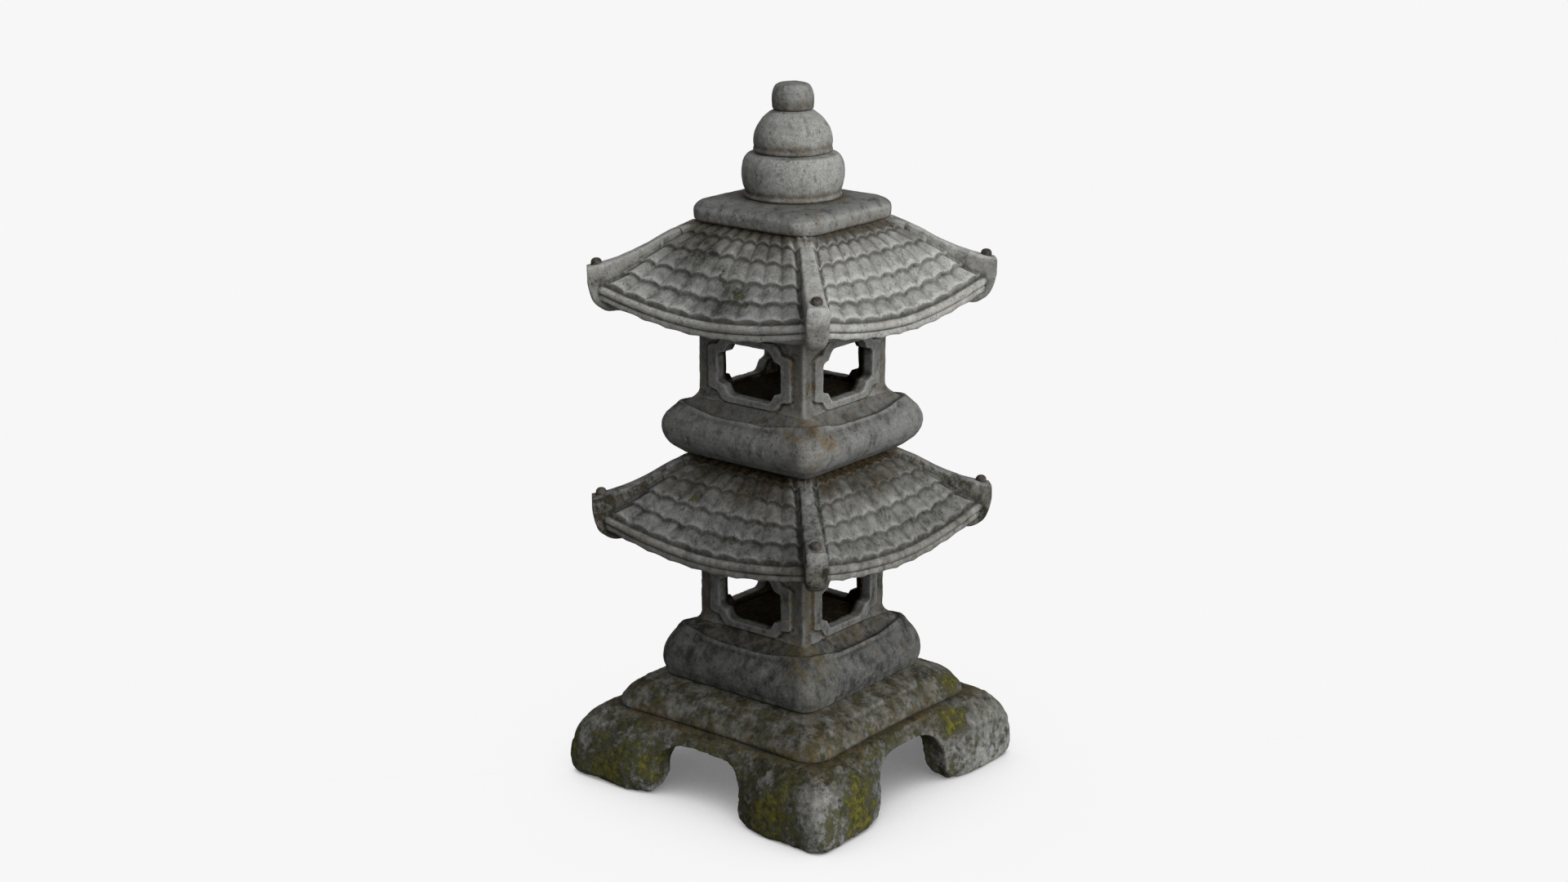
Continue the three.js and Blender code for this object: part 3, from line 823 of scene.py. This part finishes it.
def stone_look(name, seed, tone, grime_and_shade_colour, patchy):
    """Cast stone out in the weather: mottled grey with pits, grime, rust, soil, moss, worn edges, painted
    shade and highlights.

    tone is how light the bare stone is, and patchy how unevenly the grime and painted shade lie, from 0 to 1.
    """
    look = Look(name)
    crease, edge, joint = look.attribute("crease"), look.attribute("edge"), look.attribute("joint")
    moss, soil_and_shade, rust, grime_and_shade = (look.attribute(n) for n in ("moss", "soil_and_shade", "rust", "grime_and_shade"))
    broad = look.noise(80, seed, 4)
    patch = look.noise(26, seed + 1, 5, 0.62)
    speck = look.noise(6, seed + 2, 5, 0.72)
    fine = look.noise(1.5, seed + 3, 2, 0.6)
    smudge = look.noise(15, seed + 4, 6, 0.7, (1, 1, 0.6))

    def times(first, second):
        return look.math("MULTIPLY", first, second, True)

    def plus(first, second):
        return look.math("ADD", first, second, True)

    def grey(value):
        return srgb(*(tone * (value + tint) for tint in (0.5, 1, -2.5)))

    # Bare stone, lighter on its edges by wear and by painted highlight, then grime and painted shade.
    colour = look.mix(look.ramp(patch, 0.30, 0.70), grey(114), grey(152))
    colour = look.mix(look.ramp(broad, 0.35, 0.68, 0, 0.45), colour, grey(164))
    colour = look.mix(look.ramp(speck, 0.40, 0.66, 0, 0.45), colour, grey(176))
    colour = look.mix(look.ramp(smudge, 0.50, 0.70, 0, 0.66), colour, grey(76))
    colour = look.mix(look.ramp(fine, 0.34, 0.62, 0.28, 0), colour, grey(70))
    colour = look.mix(times(edge, look.ramp(speck, 0.3, 0.6, 0.25, 0.9)), colour, grey(182))

    lie = plus(times(smudge, 0.55 - 0.2 * patchy), times(speck, 0.45 - 0.2 * patchy))
    lie = plus(lie, times(patch, 0.4 * patchy))
    thick = look.ramp(lie, 0.32 + 0.05 * patchy, 0.67 - 0.06 * patchy, 0.68 - 0.30 * patchy,
                      1.2 + 0.2 * patchy)
    colour = look.mix(times(grime_and_shade, thick), colour, grime_and_shade_colour)

    # Rust where stones meet and in stray blots.
    brown = look.mix(look.ramp(speck, 0.35, 0.62), srgb(74, 61, 36), srgb(122, 101, 56))
    stain = times(plus(times(joint, 0.75), rust), look.ramp(look.noise(19, seed + 6, 5, 0.65), 0.38, 0.58))
    colour = look.mix(times(stain, 0.72), colour, brown)
    stray = look.ramp(plus(look.noise(42, seed + 7, 6, 0.7), times(speck, 0.25)), 0.70, 0.86, 0, 0.45)
    colour = look.mix(stray, colour, srgb(112, 96, 70))

    # Pits; creases darkened by dirt and painted shade; earth where it gathers, its colours also painted as
    # shade under the roofs and in the chambers.
    pit_field = plus(look.noise(2.7, seed + 5, 3, 0.7), times(look.math("SUBTRACT", smudge, 0.5), 0.35))
    pits = look.ramp(pit_field, 0.62, 0.70)
    small_pits = look.ramp(plus(look.noise(1.3, seed + 11, 1, 0.5), times(patch, 0.2)), 0.66, 0.76)
    colour = look.mix(times(small_pits, 0.35), colour, grey(56))
    colour = look.mix(times(pits, 0.8), colour, srgb(38, 36, 31))
    crease_dirt_and_shade = times(crease, look.ramp(speck, 0.25, 0.6, 0.6, 1.0))
    colour = look.mix(times(crease_dirt_and_shade, 0.82), colour, srgb(36, 33, 28))
    crumbs = look.ramp(look.noise(7, seed + 8, 4, 0.7), 0.36, 0.66)
    earth_and_shade = look.mix(crumbs, srgb(25, 22, 15), srgb(68, 57, 37))
    # Darkest where the soil and shade mask passes 0.82, inside the light boxes: painted shade.
    earth_and_shade = look.mix(look.ramp(soil_and_shade, 0.82, 1.0, 0, 0.72), earth_and_shade, srgb(24, 17, 8))
    colour = look.mix(times(look.ramp(soil_and_shade, 0, 0.8), look.ramp(smudge, 0.3, 0.5, 0.8, 1.0)), colour, earth_and_shade)

    # Moss: a thin film, with tufts where it grows best.
    rough_noise = look.math("ADD", look.noise(30, seed + 9, 6, 0.72), look.math("MULTIPLY", speck, 0.55))
    growth = look.math("ADD", moss, look.math("MULTIPLY", look.math("SUBTRACT", rough_noise, 0.775), 2.3))
    film = look.ramp(growth, 0.28, 0.62)
    tuft = look.ramp(growth, 0.50, 0.98)
    film_colour = look.mix(look.ramp(patch, 0.35, 0.65), srgb(42, 43, 28), srgb(74, 73, 45))
    bright = look.ramp(look.noise(10, seed + 10, 5, 0.7), 0.36, 0.62)
    tuft_colour = look.mix(bright, srgb(48, 52, 17), srgb(112, 107, 32))
    colour = look.mix(times(film, 0.8), colour, film_colour)
    colour = look.mix(times(tuft, look.ramp(speck, 0.3, 0.6, 0.45, 1.0)), colour, tuft_colour)

    relief = look.math("SUBTRACT", look.math("MULTIPLY", speck, 0.9), look.math("MULTIPLY", pits, 0.7))
    relief = look.math("ADD", relief, look.math("MULTIPLY", tuft, 0.8))
    normal = look.bump(relief, 0.6, 1.8)
    normal = look.bump(look.math("SUBTRACT", fine, small_pits), 0.45, 0.6, normal)
    roughness = look.ramp(patch, 0.3, 0.7, 0.80, 0.95)
    look.feed("Specular IOR Level", look.ramp(soil_and_shade, 0.5, 1.0, 0.3, 0.03))
    return look.finish(colour, roughness, normal)


def knob_look():
    """The knobs at the ridge ends: brown, rusty and dark in their pores."""
    look = Look("rusty_brown_stone")
    patch = look.noise(8, 61, 4, 0.65)
    fine = look.noise(1.8, 62, 3, 0.6)
    colour = look.mix(look.ramp(patch, 0.38, 0.64), srgb(46, 43, 38), srgb(86, 79, 69))
    colour = look.mix(look.ramp(fine, 0.6, 0.72, 0, 0.7), colour, srgb(30, 25, 22))
    normal = look.bump(look.math("ADD", patch, fine), 0.5, 0.8)
    return look.finish(colour, look.ramp(fine, 0.3, 0.7, 0.6, 0.85), normal)


def steel_look():
    """Galvanised steel gone dull, with rust where the stone's damp has been."""
    look = Look("dull_steel")
    patch = look.noise(9, 71, 4, 0.6)
    fine = look.noise(1.2, 72, 2, 0.6)
    rust = look.ramp(patch, 0.5, 0.66)
    colour = look.mix(look.ramp(fine, 0.3, 0.7), srgb(118, 120, 122), srgb(158, 160, 162))
    colour = look.mix(rust, colour, srgb(96, 58, 36))
    look.feed("Metallic", look.ramp(rust, 0, 1, 0.95, 0.1))
    return look.finish(colour, look.ramp(rust, 0, 1, 0.42, 0.85), look.bump(fine, 0.3, 0.3))


# ---- the lantern

def beds_still(*heights):
    """Keeps a stone true near its beds, so that stones don't run into each other."""
    def still(points):
        away = np.min([np.abs(points[:, 2] - height) for height in heights], axis=0)
        return 1 - smooth(0.8, 4.0, away)
    return still


def add_foot_stone():
    top = node_top("base_plinth")
    stone = make_base_plinth()
    points, normals, masks = weather(
        stone, 11, wear=1.1, lumps=1.8, grain=1.7, still=beds_still(top),
        contacts=[(169, 93, True)],
        spots=[("moss", -136, -212, 30, 62, 0.88), ("moss", -208, -208, 40, 50, 0.74),
               ("moss", 132, -212, 30, 60, 0.9), ("moss", 212, -128, 34, 54, 0.92),
               ("moss", 205, 92, 82, 34, 1.15), ("moss", 212, 190, 20, 50, 0.6),
               ("moss", -212, 150, 40, 70, 0.8), ("moss", 150, 212, 30, 60, 0.8),
               ("moss", -150, 212, 50, 60, 0.6), ("moss", -212, -140, 30, 60, 0.8),
               ("rust", 190, 80, 86, 30, 0.9), ("rust", 60, -190, 90, 30, 0.5)],
    )
    level, _ = plan_place(points)
    height = points[:, 2]
    raise_mask(masks, "moss", 0.40 + 0.14 * smooth(95, 20, height))
    raise_mask(masks, "rust", 0.25 * smooth(40, 90, height))
    # Inside the hollow, under the arches, darkened as soil and painted shade.
    masks["soil_and_shade"] = 0.75 * smooth(172, 158, level) * smooth(88, 60, height)
    # Darker on its tops and lighter near the floor.
    masks["grime_and_shade"] = 0.66 - 0.32 * smooth(60, 20, height) + 0.36 * smooth(0.4, 0.9, normals[:, 2])
    for x, y, z, radius in ((212, 170, 40, 80), (206, -206, 66, 36), (-185, -205, 80, 36)):
        pale = bell(np.linalg.norm(points - [x, y, z], axis=1), radius)
        masks["grime_and_shade"] -= 0.45 * pale
        masks["moss"] -= 0.22 * pale
    flatten_bed(stone, low=0)
    hold_within(stone, FOOT_REACH, 4)
    finish_piece(stone, "base", "base_plinth", mossy, masks)


def add_step():
    stone = make_step_plinth()
    points, normals, masks = weather(
        stone, 12, wear=1.1, lumps=1.5, grain=1.1, still=beds_still(STEP_BED, node_top("step_plinth")),
        contacts=[(168, STEP_BED, True)],
        spots=[("rust", 168, -150, 100, 30, 0.9), ("rust", 60, -166, 97, 26, 0.6),
               ("moss", 166, 130, 108, 35, 0.8), ("moss", -120, -166, 110, 50, 0.5)],
    )
    raise_mask(masks, "moss", 0.18 + 0.12 * smooth(128, 98, points[:, 2]))
    raise_mask(masks, "rust", 0.30)
    # Dark all over, as grime and painted shade, a little more on its top.
    masks["grime_and_shade"] = 0.70 + 0.1 * smooth(0.4, 0.9, normals[:, 2])
    finish_piece(stone, "step", "step_plinth", mossy, masks)


def add_platform(tier, pillow, seed, bed, top, grime_and_shade, streak):
    """streak is how strong the rust is that runs down from the front corner of the light box."""
    stone = make_platform(tier + "_platform_stone", bed, pillow, top - BED_GAP)
    points, _, masks = weather(
        stone, seed, wear=0.7, lumps=1.0, grain=0.5, still=beds_still(bed, top, top + TENON_RISE),
        # The crease spot darkens the cove at the front corner with dirt and painted shade.
        spots=[("rust", 100, -100, top - 6, 24, 1.5), ("rust", 124, -84, top - 22, 14, streak),
               ("rust", 122, -98, top - 32, 10, 0.6 * streak),
               ("rust", 120, -120, top - 60, 20, 0.6 * streak),
               ("crease", 104, -104, top - 6, 15, 0.75), ("rust", -100, 100, top - 6, 24, 1.2)],
    )
    level, _ = plan_place(points)
    # The top inside the tenon lies in the box's chamber: darkened as soil and painted shade.
    masks["soil_and_shade"] = smooth(70, 66, level) * smooth(top - 6, top - 1, points[:, 2])
    on_top = smooth(top - 20, top - 12, points[:, 2])
    raise_mask(masks, "rust", 0.22 * smooth(108, 100, level) * on_top)
    # A dark line along the bottom of the cove inside the rim: dirt and painted shade.
    raise_mask(masks, "crease", 0.85 * bell(level - 105.6, 2.2) * on_top)
    # Darker inward of the rim, and much darker in the chamber: grime and painted shade.
    masks["grime_and_shade"] = grime_and_shade + 0.12 * smooth(110, 104, level) + 0.6 * smooth(70, 66, level)
    finish_piece(stone, tier + "_platform", tier + "_platform", carved, masks)


def add_light_box(tier, seed, bed, grime_and_shade):
    box = make_light_box(tier + "_box_stone", bed)
    points, _, masks = weather(
        box, seed, wear=0.5, lumps=0.6, grain=0.45, still=beds_still(bed, bed + BOX_RISE),
    )
    level, along = plan_place(points)
    outside = smooth(80, 82, level)
    gap = groove_gap(along, points[:, 2] - bed - WINDOW_ABOVE_BED)
    # The inside of the box is darkened as if with soil, darkest of all: painted shade for the chamber.
    masks["soil_and_shade"] = 1.1 * smooth(80, 70, level)
    masks["rust"] = 1.2 * (bell(gap, 1.7) * outside) + 0.5 * smooth(60, 68, along) * smooth(86, 78, along)
    # The groove round each window is darkened with dirt and painted shade.
    raise_mask(masks, "crease", 0.6 * bell(gap, 1.1) * outside)
    # Darker towards the top of the walls, under the roof, as painted shade, and darker towards the corners.
    masks["grime_and_shade"] = grime_and_shade - 0.22 + 0.15 * smooth(bed + 80, bed + 100, points[:, 2])
    masks["grime_and_shade"] += 0.22 * smooth(66, 80, along)
    finish_piece(box, tier + "_light_box", tier + "_light_box", carved, masks)


def add_roof(tier, plain, seed, bed, grime_and_shade, soiled):
    """grime is how dark the whole roof is made, by grime and painted shade, and soiled how far earth has
    gathered on its upper courses.
    """
    roof = copy_roof(plain, tier + "_roof_stone", bed)
    points, normals, masks = weather(
        roof, seed, wear=0.4, lumps=0.7, grain=0.4, still=beds_still(bed, bed - TENON_RISE, bed + ROOF_RISE),
        contacts=[(94, bed + ROOF_RISE - 2, True)],
        spots=[("grime_and_shade", 20, -160, bed + 50, 42, 0.75), ("grime_and_shade", -50, -120, bed + 90, 55, 0.85),
               ("grime_and_shade", -150, -60, bed + 60, 60, 0.6), ("grime_and_shade", 60, 150, bed + 60, 50, 0.5),
               ("moss", 30, -150, bed + 60, 36, 0.30), ("moss", -40, -120, bed + 90, 40, 0.26)],
    )
    level, along = plan_place(points)
    up = normals[:, 2]
    on_ridge = smooth(20, 15, (level - along) / math.sqrt(2))
    on_tiles = (1 - on_ridge) * (points[:, 2] - bed > 20)
    phase = tile_phase(level, along)

    # Under each course's lip a dark line of dirt and painted shade, and on the lip itself a painted
    # highlight.
    for edge in COURSE_EDGES:
        past = level - scalloped(edge, phase)
        raise_mask(masks, "crease", on_tiles * 0.65 * bell(past, 1.8) * (past > -0.3))
        masks["edge"] += on_tiles * 0.8 * bell(past + 2.2, 1.6) * (past < -0.3)
    # Dark valleys between the tiles, dirt and painted shade, and lighter tile middles, a painted highlight.
    valley = (0.3 + 0.3 * smooth(150, 105, level)) * bell(phase, 0.17)
    raise_mask(masks, "crease", on_tiles * valley * smooth(0.3, 0.6, up))
    masks["edge"] += on_tiles * 0.3 * phase ** 2

    blotch = 0.65 + 0.5 * layered(points, 34, seed + 3)
    fourth_up, fifth_up = (smooth(1.5, -1.5, level - scalloped(edge, phase)) for edge in COURSE_EDGES[3:5])
    soiling = np.maximum(fifth_up, blotch * fourth_up)
    soiling = np.maximum(soiling, 0.6 * blotch * smooth(150, 130, level))
    # Soil on the roof's underside is painted shade; on the upper courses it is earth.
    masks["soil_and_shade"] = np.maximum(0.7 * smooth(170, 90, level) * smooth(0.2, -0.6, up),
                               0.78 * np.minimum(1, soiled * soiling) * on_tiles)
    masks["rust"] = 0.22 * on_ridge * smooth(0.6, 0.2, up) + 0.3 * smooth(176, 181, level) * (1 - on_ridge)
    masks["rust"] += 0.3 * soiled * soiling * blotch * on_tiles
    # The ridges are made darker, most on their steeper sides.
    raise_mask(masks, "grime_and_shade", grime_and_shade + on_ridge * (0.12 + 0.16 * smooth(0.7, 0.3, up)))
    finish_piece(roof, tier + "_roof", tier + "_roof", tiles, masks)


def add_ridge_knobs(tier):
    for index in range(1, 5):
        node = f"{tier}_ridge_knob_{index}"
        finish_piece(make_ridge_knob(node + "_stone", node), tier + "_roof", node, knobs)


def add_slab():
    stone = make_cap_slab()
    _, normals, masks = weather(
        stone, 51, wear=0.9, lumps=0.9, grain=0.5, still=beds_still(SLAB_BED, SLAB_TOP),
        contacts=[(94, SLAB_BED, True), (61, SLAB_TOP, False)],
    )
    masks["grime_and_shade"] = 0.24 + 0.34 * smooth(0.4, 0.9, normals[:, 2])
    finish_piece(stone, "cap_slab", "cap_slab", carved, masks)


def add_finial_stone(node, stone, seed, radius, top, grime_and_shade=0):
    """radius is that of the ring on which the stone stands. It is kept true at its bed and at top."""
    bed = node_bottom(node)
    _, normals, masks = weather(
        stone, seed, wear=0.8, lumps=0.6, grain=0.4, still=beds_still(bed, top),
        contacts=[(radius, bed + 1, False), (radius - 3, bed + 7, False)],
    )
    masks["grime_and_shade"] = 0.22 * smooth(0.75, 1.0, normals[:, 2]) + grime_and_shade
    finish_piece(stone, "finial", node, carved, masks)


mossy = stone_look("mossy_stone", 3, 0.97, srgb(34, 35, 23), 1.0)
carved = stone_look("carved_stone", 23, 1.05, srgb(33, 35, 33), 0.2)
tiles = stone_look("roof_tiles", 43, 1.14, srgb(34, 35, 30), 0.5)
knobs = knob_look()
steel = steel_look()

add_foot_stone()
add_step()
# The lower storey gets more grime and shade than the upper one: grime, and painted shade from the roofs
# above.
add_platform("lower", LOWER_PILLOW, 13, LOWER_PLATFORM_BED, LOWER_BOX_BED, 0.78, 0.5)
add_light_box("lower", 14, LOWER_BOX_BED, 0.78)
add_platform("upper", UPPER_PILLOW, 17, UPPER_PLATFORM_BED, UPPER_BOX_BED, 0.46, 1.5)
add_light_box("upper", 18, UPPER_BOX_BED, 0.46)

plain_roof = make_roof()
# The lower roof is darker than the upper one: grime, and painted shade under the upper storey.
add_roof("lower", plain_roof, 31, LOWER_ROOF_BED, 0.62, 1.02)
add_ridge_knobs("lower")
add_roof("upper", plain_roof, 37, UPPER_ROOF_BED, 0.15, 0.68)
add_ridge_knobs("upper")
remove(plain_roof)

add_slab()
for node, name, outline, seed, radius in (
    ("finial_lower_bulb", "lower_bulb_stone", LOWER_BULB, 53, 60),
    ("finial_middle_bulb", "middle_bulb_stone", MIDDLE_BULB, 55, 49),
):
    add_finial_stone(node, make_bulb(name, node, outline), seed, radius, node_top(node))
# Nothing stands on the knob, so its own top wears like its sides.
add_finial_stone("finial_knob", make_finial_knob(), 57, 26, node_top("finial_knob") + 9, 0.3)

for node in ("base_dowel", "step_dowel", "roof_dowel", "finial_rod"):
    pin = bpy.data.objects[node]
    pin.data.materials.clear()
    pin.data.materials.append(steel)


# ---- stage

def show_to_camera(tree, output, shown, others):
    """Shows one shader to the camera, and another to every other ray."""
    ray = tree.nodes.new("ShaderNodeLightPath")
    mixed = tree.nodes.new("ShaderNodeMixShader")
    tree.links.new(ray.outputs["Is Camera Ray"], mixed.inputs[0])
    tree.links.new(others.outputs[0], mixed.inputs[1])
    tree.links.new(shown.outputs[0], mixed.inputs[2])
    tree.links.new(mixed.outputs[0], tree.nodes.new(output).inputs["Surface"])


def floor_look():
    """A pale floor, nearly white to the camera but for the soft shade round the stone."""
    material = bpy.data.materials.new("pale_floor")
    material.use_nodes = True
    tree = material.node_tree
    tree.nodes.clear()
    openness = tree.nodes.new("ShaderNodeAmbientOcclusion")
    openness.samples = 12
    openness.inputs["Distance"].default_value = SHADE_REACH
    openness.inputs["Normal"].default_value = SHADE_LEAN
    shade = tree.nodes.new("ShaderNodeValToRGB")
    shade.color_ramp.interpolation = "LINEAR"
    while len(shade.color_ramp.elements) < len(FLOOR_SHADES):
        shade.color_ramp.elements.new(0.5)
    for element, (place, value) in zip(shade.color_ramp.elements, FLOOR_SHADES):
        element.position = place
        element.color = (value, value, value, 1)
    pale = tree.nodes.new("ShaderNodeEmission")
    dull = tree.nodes.new("ShaderNodeBsdfDiffuse")
    dull.inputs["Color"].default_value = (FLOOR_BOUNCE, FLOOR_BOUNCE, FLOOR_BOUNCE, 1)
    tree.links.new(openness.outputs["AO"], shade.inputs[0])
    tree.links.new(shade.outputs[0], pale.inputs["Color"])
    show_to_camera(tree, "ShaderNodeOutputMaterial", pale, dull)
    return material


def add_floor():
    half = FLOOR_HALF
    corners = [(-half, -half, 0), (half, -half, 0), (half, half, 0), (-half, half, 0)]
    mesh = bpy.data.meshes.new("floor")
    mesh.from_pydata(corners, [], [(0, 1, 2, 3)])
    mesh.materials.append(floor_look())
    add_object("floor", mesh)


def set_world():
    """Even light from all round, behind a backdrop as pale as the floor."""
    world = bpy.data.worlds.new("studio")
    bpy.context.scene.world = world
    world.use_nodes = True
    tree = world.node_tree
    tree.nodes.clear()
    light = tree.nodes.new("ShaderNodeBackground")
    light.inputs["Color"].default_value = (1, 1, 1, 1)
    light.inputs["Strength"].default_value = SKY_STRENGTH
    backdrop = tree.nodes.new("ShaderNodeBackground")
    backdrop.inputs["Color"].default_value = (BACKDROP, BACKDROP, BACKDROP, 1)
    show_to_camera(tree, "ShaderNodeOutputWorld", backdrop, light)


def add_sun(name, towards, strength, width, shiny=True):
    """A soft light from a direction. width is its angle across, in degrees. shiny light is mirrored."""
    lamp = bpy.data.lights.new(name, "SUN")
    lamp.energy = strength
    lamp.angle = math.radians(width)
    made = add_object(name, lamp)
    made.rotation_euler = Vector(towards).to_track_quat("Z", "Y").to_euler()
    made.visible_glossy = shiny


FLOOR_HALF = 80
BACKDROP = 0.93
# Openness to the sky, and how light the floor looks there.
FLOOR_SHADES = [(0.08, 0.16), (0.28, 0.32), (0.46, 0.62), (0.62, 0.82), (0.80, 0.90), (0.97, 0.93)]
SHADE_REACH = 0.35
SHADE_LEAN = (0.35, -0.05, 0.93)
FLOOR_BOUNCE = 0.2
SKY_STRENGTH = 0.245
CAMERA_PLACE = (1.8949, -2.3828, 1.3309)
CAMERA_DOWN = 16.295
CAMERA_TURN = 38.7026

add_floor()
set_world()
add_sun("key_light", (0.87, -0.14, 0.47), 2.9, 50)
add_sun("back_light", (-0.70, 0.72, 0.14), 1.4, 50, shiny=False)

camera_data = bpy.data.cameras.new("camera")
camera_data.sensor_width = 36
camera_data.lens = 57.09
camera = add_object("camera", camera_data)
camera.location = CAMERA_PLACE
camera.rotation_euler = (math.radians(90 - CAMERA_DOWN), 0, math.radians(CAMERA_TURN))
bpy.context.scene.camera = camera
bpy.context.scene.view_settings.view_transform = "Standard"
